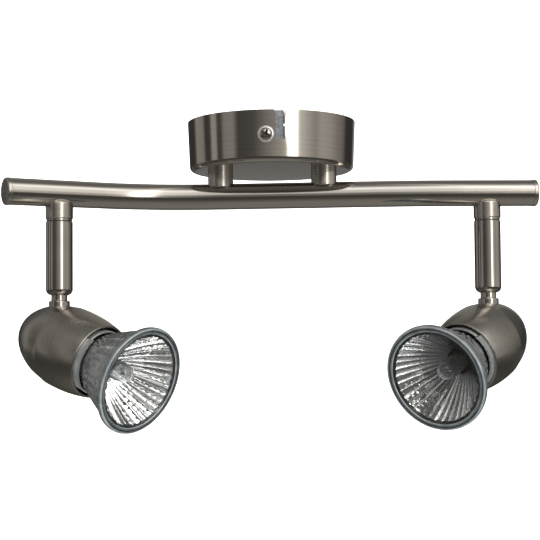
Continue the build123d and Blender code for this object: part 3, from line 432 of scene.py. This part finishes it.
def polished_nickel(name, rough, **inputs):
    """Bright nickel over turned metal."""
    material, tree = new_material(name)
    grain = group_node(tree, lathe_brushing, **inputs)
    edge = group_node(tree, painted_edge_highlight, Width=0.0003)["Edge"]
    tone = ramp(tree, grain["Cloud"], [(0.35, POLISHED_DARK), (0.65, POLISHED)])
    # Sharp edges are coloured partway to the lighter tone: a painted highlight.
    tone = mixed(tree, sums(tree, "MULTIPLY", edge, 0.4), tone, POLISHED_EDGE_HIGHLIGHT)
    finish_material(tree, height=grain["Scratches"], depth=0.04, distance=0.00004, Base_Color=tone,
                    Metallic=1.0, Roughness=between(tree, grain["Cloud"], 0.35, 0.65, *rough))
    return material


for side in ("left", "right"):
    centre, upward = joint_axis(f"pan_{side}")
    turned_part = polished_nickel(f"stem_{side}_polished_nickel", rough=(0.05, 0.09), Axis_Point=centre,
                                  Axis_Direction=upward)
    for node in ("stem", "swivel_ring", "ball_neck"):
        finish_node(f"{node}_{side}", turned_part)

# ------------------------------------------------------------------ canopy side screws
# Two domed screws with cross recesses clamp the canopy on the tabs of its plate, each in a pressed cup
# washer whose rolled edge stands up round the head. Both are steel, polished and nickel plated.
SCREW_TURN = math.radians(-7.8)
SCREW_DISTANCE = 0.04072
SCREW_HEIGHT = -0.01145
RECESS_WIDTH = 0.0009
RECESS_LENGTH = 0.0038
RECESS_DEPTH = 0.0012
RECESS_TURN = math.radians(25)
ROUND_STEPS = 72
HEAD_RADIUS = 0.0027
HEAD_EDGE = 0.0010
HEAD_DOME = 0.0012
# Radius and height, from the washer's foot over its rolled edge and down to the screw.
washer_profile = [(0.0039, 0.0), (0.00392, 0.00022), (0.0038, 0.00050), (0.0035, 0.00078),
                  (0.0032, 0.00096), (0.0030, 0.00100), (0.00286, 0.00088), (0.0027, 0.00058),
                  (0.0026, 0.00042), (0.0019, 0.00040)]
# Radius and height up the edge of the head and over its dome, to a point just short of its middle.
head_profile = [(0.0024, 0.0003), (HEAD_RADIUS, 0.0005), (0.00276, 0.0008), (HEAD_RADIUS, HEAD_EDGE)]
for rise in range(6, 88, 4):
    head_profile.append((HEAD_RADIUS * math.cos(math.radians(rise)),
                         HEAD_EDGE + HEAD_DOME * math.sin(math.radians(rise))))
head_profile.append((0.00002, 0.0022))


def ring_of(mesh, radius_at, height_at, count):
    """One ring of points round the Z axis."""
    points = []
    for step in range(count):
        angle = 2 * math.pi * step / count
        x, y = radius_at(step) * math.cos(angle), radius_at(step) * math.sin(angle)
        points.append(mesh.verts.new((x, y, height_at(step))))
    return points


def join_rings(mesh, first, second, material=0):
    """Faces between two rings of equally many points."""
    count = len(first)
    for step in range(count):
        after = (step + 1) % count
        face = mesh.faces.new((first[step], first[after], second[after], second[step]))
        face.material_index = material
        face.smooth = True


def new_piece(name, mesh, place, materials, body, replaced, crease=40):
    """Turns a bmesh into an object that rides on a body and stands for a CAD node."""
    bmesh.ops.recalc_face_normals(mesh, faces=mesh.faces)
    for edge in mesh.edges:
        if edge.calc_face_angle(0.0) > math.radians(crease):
            edge.smooth = False
    mesh.transform(place)
    data = bpy.data.meshes.new(name)
    mesh.to_mesh(data)
    mesh.free()
    for material in materials:
        data.materials.append(material)
    piece = bpy.data.objects.new(name, data)
    bpy.context.scene.collection.objects.link(piece)
    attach(piece, body)
    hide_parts(replaced)


def in_recess(radius, step):
    """Depth of the cross recess at a place on the head."""
    angle = 2 * math.pi * step / ROUND_STEPS + RECESS_TURN
    x, y = abs(radius * math.cos(angle)), abs(radius * math.sin(angle))
    if max(x, y) > RECESS_LENGTH / 2 or min(x, y) > RECESS_WIDTH / 2:
        return 0.0
    return RECESS_DEPTH * (1 - 0.75 * max(x, y) / (RECESS_LENGTH / 2))


screw_nickel = polished_nickel("screw_polished_nickel", rough=(0.20, 0.30), Axis_Direction=(0, 1, 0))
# The washer's nickel is coloured much lighter than the screw's so that its rolled edge shows a bright ring: a
# painted highlight.
washer_nickel = mottled("washer_dull_nickel_painted_highlight", 900.0, (0.74, 0.72, 0.68), (0.84, 0.82, 0.78), (0.30, 0.42),
                        detail=2.0, depth=0.1, Metallic=0.85)
# Faces inside the cross recess get a near-black nickel: painted shade in the recess.
recess_shadow = mottled("recess_painted_shade", 900.0, (0.05, 0.048, 0.045), (0.12, 0.115, 0.11), (0.4, 0.6),
                        detail=2.0, Metallic=1.0)
for face_name, half_turn in (("front", 0.0), ("rear", math.pi)):
    stands = (Matrix.Rotation(SCREW_TURN + half_turn, 4, "Z")
              @ Matrix.Translation((0, -SCREW_DISTANCE, SCREW_HEIGHT))
              @ Matrix.Rotation(math.radians(90), 4, "X"))
    washer = bmesh.new()
    rings = []
    for radius, height in washer_profile:
        rings.append(ring_of(washer, lambda _: radius, lambda _: height, ROUND_STEPS))
    for first, second in zip(rings, rings[1:]):
        join_rings(washer, first, second)
    new_piece(f"cup_washer_{face_name}", washer, stands, [washer_nickel], "fixture",
              "canopy_cup_washers")
    head = bmesh.new()
    rings = []
    for radius, height in head_profile:
        rings.append(ring_of(head, lambda _: radius, lambda step: height - in_recess(radius, step),
                             ROUND_STEPS))
    for first, second in zip(rings, rings[1:]):
        join_rings(head, first, second)
    # Faces inside the recess take the painted shade material.
    for face in head.faces:
        centre = face.calc_center_median()
        step = (math.atan2(centre.y, centre.x) / (2 * math.pi) % 1.0) * ROUND_STEPS
        face.material_index = 1 if in_recess(math.hypot(centre.x, centre.y), step) > 0 else 0
    new_piece(f"canopy_screw_{face_name}", head, stands, [screw_nickel, recess_shadow], "fixture",
              "canopy_screws", crease=35)

# ------------------------------------------------------------------ zinc-plated parts
# Ceiling plate, nuts, washers, terminal and holder screws and the swivel tubes: pressed and turned steel
# with a zinc plating that shows its flower pattern and dull spots.
zinc_flowers, given, result = new_group(
    "zinc_flowers", [("Flower Size", "NodeSocketFloat", 420.0)],
    [("Flowers", "NodeSocketFloat"), ("Dull", "NodeSocketFloat")])
surface_point = put(zinc_flowers, "ShaderNodeTexCoord").outputs["Object"]
wandering = put(zinc_flowers, "ShaderNodeTexNoise", Vector=surface_point, Scale=300.0, Detail=2.0)
bent_place = vector_sum(zinc_flowers, "MULTIPLY_ADD", wandering.outputs["Color"], (0.002, 0.002, 0.002),
                        surface_point).outputs[0]
cells = put(zinc_flowers, "ShaderNodeTexVoronoi", Vector=bent_place, Scale=given["Flower Size"])
cell_tone = put(zinc_flowers, "ShaderNodeSeparateColor", Color=cells.outputs["Color"]).outputs[0]
dull = put(zinc_flowers, "ShaderNodeTexNoise", Vector=surface_point, Scale=140.0, Detail=3.0)
zinc_flowers.links.new(cell_tone, result["Flowers"])
zinc_flowers.links.new(dull.outputs["Fac"], result["Dull"])

zinc, tree = new_material("zinc_plated_steel")
flowers = group_node(tree, zinc_flowers, Flower_Size=800.0)
zinc_tone = ramp(tree, flowers["Flowers"], [(0.1, (0.30, 0.33, 0.37)), (0.9, (0.52, 0.54, 0.57))])
finish_material(tree, height=flowers["Dull"], depth=0.15, Base_Color=zinc_tone, Metallic=1.0,
                Roughness=between(tree, flowers["Dull"], 0.35, 0.65, 0.28, 0.5))
for node in ("ceiling_plate", "stud_nuts", "stud_washers", "terminal_screws"):
    finish_node(node, zinc)
for side in ("left", "right"):
    for node in ("neck_nut", "holder_screws", "swivel_tube"):
        finish_node(f"{node}_{side}", zinc)

# ------------------------------------------------------------------ terminal block and earth screw
# A three-pole block of white nylon under the ceiling plate, moulded, with a brass earth screw beside it.
moulded_nylon, tree = new_material("moulded_white_nylon")
nylon_tone = noise(tree, 120.0, 2.0)
finish_material(tree, height=noise(tree, 1800.0, 1.0), depth=0.12,
                Roughness=between(tree, nylon_tone, 0.3, 0.7, 0.34, 0.48),
                Base_Color=two_tones(tree, nylon_tone, (0.78, 0.77, 0.72), (0.86, 0.85, 0.80)),
                Subsurface_Weight=0.1, Subsurface_Scale=0.001)
finish_node("terminal_block", moulded_nylon)

turned_brass = mottled("turned_brass", 350.0, (0.66, 0.47, 0.20), (0.80, 0.62, 0.32), (0.2, 0.42),
                       depth=0.1, Metallic=1.0)
finish_node("earth_screw", turned_brass)

# ------------------------------------------------------------------ inside the stems
# A moulded nylon sleeve and a blackened steel spring washer, both slipped into the stem, press on each
# tilt ball and hold the head where it is put.
blackened = mottled("blackened_spring_steel", 500.0, (0.09, 0.085, 0.08), (0.17, 0.16, 0.15), (0.28, 0.45),
                    depth=0.1, Metallic=1.0)
for side in ("left", "right"):
    finish_node(f"pressure_sleeve_{side}", moulded_nylon)
    finish_node(f"spring_washer_{side}", blackened)

# ------------------------------------------------------------------ lampholders
# A ceramic bayonet holder with brass contacts is screwed to a bent steel strap that is sprung into the
# shell. The strap's legs and a spring ring, both satin grey, show in the mouth beside the lamp base, which is
# coloured nearly black as painted shade deep in the shell.
bisque, tree = new_material("unglazed_ceramic")
clay = noise(tree, 260.0, 4.0)
finish_material(tree, height=noise(tree, 2600.0, 2.0), depth=0.3,
                Roughness=between(tree, clay, 0.3, 0.7, 0.6, 0.8),
                Base_Color=two_tones(tree, clay, (0.66, 0.63, 0.57), (0.78, 0.76, 0.70)))
# The lamp base is coloured nearly black: painted shade for the dark deep inside the shell.
lamp_base_shade_ceramic = mottled("lamp_base_painted_shade", 400.0, (0.016, 0.015, 0.014), (0.035, 0.033, 0.03),
                       (0.25, 0.4), depth=0.1)
grey_satin = mottled("grey_satin_spring_ring", 200.0, (0.36, 0.375, 0.38), (0.46, 0.475, 0.48),
                     (0.12, 0.20), depth=0.05, Metallic=0.7)
for side in ("left", "right"):
    finish_node(f"lampholder_{side}", bisque)
    finish_node(f"lamp_base_{side}", lamp_base_shade_ceramic)
    finish_node(f"holder_contacts_{side}", turned_brass)
    finish_node(f"lamp_pins_{side}", turned_brass)
    finish_node(f"holder_strap_{side}", grey_satin)
    finish_node(f"holder_ring_{side}", grey_satin)

# ------------------------------------------------------------------ reflector bowls
# Pressed glass bowls with a stepped rim. Inside, long flutes crossed by faint rows of facets carry the
# mirror coating, laid on as a vapour; outside, the same coating shows grey through the fluted glass.
LAMP_FRONT = 0.0449
RIM_RADIUS = 0.0250
RIM_THICKNESS = 0.0030
MOUTH_RADIUS = 0.0210
SEAT_RADIUS = 0.0219
SEAT_DEPTH = 0.0018
BOWL_DEPTH = 0.0260
APEX_RADIUS = 0.0060
GLASS_THICKNESS = 0.0020
FLUTES = 38
FACET_ROWS = 9
POINTS_PER_FACET = 6
FLUTE_DEPTH = 0.00075
FLUTE_SEED = 11
RIM_STEP = 0.0016
OUTER_WAIST_RADIUS = 0.0194
OUTER_WAIST_DEPTH = 0.0135
OUTER_FOOT_RADIUS = 0.0136
OUTER_FLUTE_DEPTH = 0.00022
OUTER_ROWS = 40
OUTER_FADE = 6
INNER_WAIST_RADIUS = 0.0154
INNER_WAIST_DEPTH = 0.0115
# The groove and lip slots hold painted shade and painted highlight copies of the rim glass.
COATING, OUTSIDE, RIM, GROOVE_SHADE, LIP_HIGHLIGHT = range(5)


def lamp_frame(side):
    """Matrix whose Z runs forward along the lamp, X level, from the widest place of its shell."""
    pivot, forward = joint_axis(f"lamp_twist_{side}")
    level = forward.cross(Vector((0, 0, 1))).normalized()
    made = Matrix((level, forward.cross(level), forward)).transposed().to_4x4()
    made.translation = pivot
    return made


def arc_through(start, through, end, share):
    """Point of the circle arc through three (radius, place) points, at a share of its length."""
    ax, ay, bx, by, cx, cy = *start, *through, *end
    aa, bb, cc = ax * ax + ay * ay, bx * bx + by * by, cx * cx + cy * cy
    double_area = 2 * (ax * (by - cy) + bx * (cy - ay) + cx * (ay - by))
    ux = (aa * (by - cy) + bb * (cy - ay) + cc * (ay - by)) / double_area
    uy = (aa * (cx - bx) + bb * (ax - cx) + cc * (bx - ax)) / double_area
    first = math.atan2(ay - uy, ax - ux)
    last = math.atan2(cy - uy, cx - ux)
    swing = (last - first + math.pi) % (2 * math.pi) - math.pi
    angle = first + swing * share
    radius = math.hypot(ax - ux, ay - uy)
    return ux + radius * math.cos(angle), uy + radius * math.sin(angle)


mirror_coating, tree = new_material("mirror_coating")
haze = noise(tree, 220.0, 2.0)
finish_material(tree, height=noise(tree, 700.0, 2.0), depth=0.04, distance=0.0002, Metallic=1.0,
                Roughness=between(tree, haze, 0.3, 0.7, 0.03, 0.08),
                Base_Color=two_tones(tree, haze, (0.80, 0.805, 0.81), (0.88, 0.885, 0.89)))

coated_glass, tree = new_material("coated_glass_outside")
ripple = noise(tree, 420.0, 3.0)
finish_material(tree, height=ripple, depth=0.5, distance=0.0004, Metallic=0.75, Roughness=0.16,
                Base_Color=two_tones(tree, ripple, (0.16, 0.175, 0.18), (0.36, 0.385, 0.39)),
                Coat_Weight=1.0, Coat_Roughness=0.03, Coat_IOR=1.5)


def rim_tone(name, low, high):
    """Pressed glass over the grey coating, in one tone per copy: the lip copy is lighter as a painted highlight,
    the groove copy darker as painted shade.
    """
    material, tree = new_material(name)
    ripple = noise(tree, 260.0, 2.0)
    finish_material(tree, height=ripple, depth=0.15, distance=0.0002, Metallic=0.0, Roughness=0.10, IOR=1.5,
                    Transmission_Weight=0.25, Coat_Weight=1.0, Coat_Roughness=0.03,
                    Base_Color=two_tones(tree, ripple, low, high))
    return material


# The lip glass is lighter and the groove glass darker than the rim glass: painted highlight on the raised lips,
# painted shade in the grooves.
rim_glass = rim_tone("rim_glass", (0.075, 0.088, 0.094), (0.12, 0.137, 0.145))
rim_groove_shade = rim_tone("rim_glass_painted_shade", (0.020, 0.024, 0.026), (0.045, 0.052, 0.055))
rim_lip_highlight = rim_tone("rim_glass_painted_highlight", (0.20, 0.222, 0.23), (0.31, 0.338, 0.348))

count = FLUTES * POINTS_PER_FACET
rows = FACET_ROWS * POINTS_PER_FACET
front = LAMP_FRONT
rear = front - BOWL_DEPTH
# Each step of the rim: its radius, its place, and which glass follows it. The lip glass is a painted highlight
# and the groove glass painted shade.
rim_profile = [(RIM_RADIUS - 0.0006, front - RIM_THICKNESS + 0.0001, RIM),
               (RIM_RADIUS - 0.0001, front - RIM_THICKNESS + 0.0006, RIM),
               (RIM_RADIUS, front - RIM_THICKNESS + 0.0011, RIM), (RIM_RADIUS, front - 0.0011, RIM),
               (RIM_RADIUS - 0.0002, front - 0.0005, LIP_HIGHLIGHT), (RIM_RADIUS - 0.0005, front - 0.00015, LIP_HIGHLIGHT),
               (RIM_RADIUS - 0.0008, front, RIM), (RIM_RADIUS - 0.0013, front - 0.0001, GROOVE_SHADE),
               (RIM_RADIUS - 0.0015, front - 0.0005, GROOVE_SHADE), (RIM_RADIUS - 0.0018, front - 0.0005, RIM),
               (RIM_RADIUS - 0.0020, front - 0.0002, RIM), (SEAT_RADIUS + 0.0004, front - 0.00015, LIP_HIGHLIGHT),
               (SEAT_RADIUS + 0.0001, front - 0.0005, LIP_HIGHLIGHT), (SEAT_RADIUS, front - 0.0009, GROOVE_SHADE),
               (SEAT_RADIUS, front - SEAT_DEPTH, GROOVE_SHADE)]
# No two pressed flutes are quite alike, so each mirrors a slightly different part of the room.
uneven = random.Random(FLUTE_SEED)
flute_shapes = [(uneven.uniform(0.6, 1.7), uneven.uniform(0.45, 1.0)) for _ in range(FLUTES)]
facet_shapes = [[uneven.uniform(0.04, 0.16) for _ in range(FACET_ROWS)] for _ in range(FLUTES)]


def outer_radius(step, radius, share):
    """Radius of the fluted outside; the flutes fade out at the rim."""
    fade = math.sin(math.pi * min(1.0, share * OUTER_FADE)) ** 0.5 if share * OUTER_FADE < 1 else 1.0
    return radius - OUTER_FLUTE_DEPTH * fade * abs(math.sin(math.pi * step / POINTS_PER_FACET))


def inner_radius(step, radius, row):
    """Radius of the mirrored inside, with its flutes and cushioned facets."""
    flute, place = divmod(step, POINTS_PER_FACET)
    facet_row = min(row // POINTS_PER_FACET, FACET_ROWS - 1)
    down = (row - facet_row * POINTS_PER_FACET) / POINTS_PER_FACET
    skew, fullness = flute_shapes[flute]
    across = (place / POINTS_PER_FACET) ** skew
    pillow = facet_shapes[flute][facet_row] * (1 - (2 * down - 1) ** 2)
    bulge = FLUTE_DEPTH * radius / MOUTH_RADIUS
    return radius - bulge * (1 - (2 * across - 1) ** 2) * (fullness + pillow)


for side in ("left", "right"):
    bowl = bmesh.new()
    outer_rings = []
    for row in range(OUTER_ROWS + 1):
        share = row / OUTER_ROWS
        radius, height = arc_through((RIM_RADIUS - RIM_STEP, front - RIM_THICKNESS),
                                     (OUTER_WAIST_RADIUS, front - OUTER_WAIST_DEPTH),
                                     (OUTER_FOOT_RADIUS, rear), share)
        outer_rings.append(ring_of(bowl, lambda step: outer_radius(step, radius, share), lambda _: height,
                                   count))
    rim_rings = []
    for radius, height, _ in rim_profile:
        rim_rings.append(ring_of(bowl, lambda _: radius, lambda _: height, count))
    inner_rings = []
    for row in range(rows + 1):
        radius, height = arc_through((MOUTH_RADIUS, front - SEAT_DEPTH),
                                     (INNER_WAIST_RADIUS, front - INNER_WAIST_DEPTH),
                                     (APEX_RADIUS, rear + GLASS_THICKNESS), row / rows)
        inner_rings.append(ring_of(bowl, lambda step: inner_radius(step, radius, row), lambda _: height,
                                   count))
    apex_ring = ring_of(bowl, lambda _: APEX_RADIUS, lambda _: rear, count)
    for first, second in zip(outer_rings, outer_rings[1:]):
        join_rings(bowl, second, first, OUTSIDE)
    join_rings(bowl, outer_rings[0], rim_rings[0], RIM)
    for first, second, (_, _, glass) in zip(rim_rings, rim_rings[1:], rim_profile):
        join_rings(bowl, first, second, glass)
    join_rings(bowl, rim_rings[-1], inner_rings[0], RIM)
    for first, second in zip(inner_rings, inner_rings[1:]):
        join_rings(bowl, first, second, COATING)
    join_rings(bowl, inner_rings[-1], apex_ring, OUTSIDE)
    join_rings(bowl, apex_ring, outer_rings[-1], OUTSIDE)
    new_piece(f"reflector_bowl_{side}", bowl, lamp_frame(side),
              [mirror_coating, coated_glass, rim_glass, rim_groove_shade, rim_lip_highlight],
              f"lamp_{side}", f"lamp_reflector_{side}", crease=13)

# ------------------------------------------------------------------ cover glass, capsule and filament
# A clear pressed disc closes each bowl. Behind it a quartz capsule stands in the apex, with a fine
# tungsten coil across its middle on two leads.
clear_glass, tree = new_material("clear_cover_glass")
ripple = noise(tree, 90.0, 1.0)
finish_material(tree, height=ripple, depth=0.05, distance=0.0002, Metallic=0.0, Roughness=0.0, IOR=1.45,
                Transmission_Weight=1.0,
                Base_Color=two_tones(tree, ripple, (0.96, 0.98, 0.98), (0.99, 1.0, 1.0)))

quartz, tree = new_material("quartz_capsule")
ripple = noise(tree, 300.0, 1.0)
finish_material(tree, height=ripple, depth=0.1, distance=0.0002, Metallic=0.0, Roughness=0.05, IOR=1.6,
                Transmission_Weight=0.85,
                Base_Color=two_tones(tree, ripple, (0.80, 0.82, 0.84), (0.92, 0.93, 0.94)))

tungsten = mottled("tungsten_coil", 2000.0, (0.20, 0.20, 0.21), (0.36, 0.36, 0.38), (0.3, 0.5), detail=2.0,
                   Metallic=1.0)

COIL_TURNS = 11
POINTS_PER_TURN = 10
COIL_RADIUS = 0.00045
COIL_LENGTH = 0.0034
WIRE_RADIUS = 0.00010
LEAD_OVERRUN = 0.0008
COIL_DEPTH = 0.0125
LEAD_BOTTOM = LAMP_FRONT - BOWL_DEPTH - LEAD_OVERRUN
COIL_PLACE = LAMP_FRONT - COIL_DEPTH
for side in ("left", "right"):
    finish_node(f"lamp_cover_glass_{side}", clear_glass)
    finish_node(f"lamp_capsule_{side}", quartz)
    wire = bpy.data.curves.new(f"filament_{side}", "CURVE")
    wire.dimensions = "3D"
    wire.bevel_depth = WIRE_RADIUS
    wire.bevel_resolution = 2
    half = COIL_LENGTH / 2
    coil_foot = COIL_PLACE - COIL_RADIUS
    places = [Vector((-half, 0, LEAD_BOTTOM)), Vector((-half, 0, coil_foot))]
    for step in range(COIL_TURNS * POINTS_PER_TURN + 1):
        angle = 2 * math.pi * step / POINTS_PER_TURN
        places.append(Vector((COIL_LENGTH * (step / (COIL_TURNS * POINTS_PER_TURN) - 0.5),
                              -COIL_RADIUS * math.sin(angle), COIL_PLACE - COIL_RADIUS * math.cos(angle))))
    places += [Vector((half, 0, coil_foot)), Vector((half, 0, LEAD_BOTTOM))]
    line = wire.splines.new("POLY")
    line.points.add(len(places) - 1)
    for point, place in zip(line.points, places):
        point.co = (*(lamp_frame(side) @ place), 1.0)
    wire.materials.append(tungsten)
    filament = bpy.data.objects.new(f"filament_{side}", wire)
    bpy.context.scene.collection.objects.link(filament)
    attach(filament, f"lamp_{side}")
    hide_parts(f"lamp_filament_{side}")
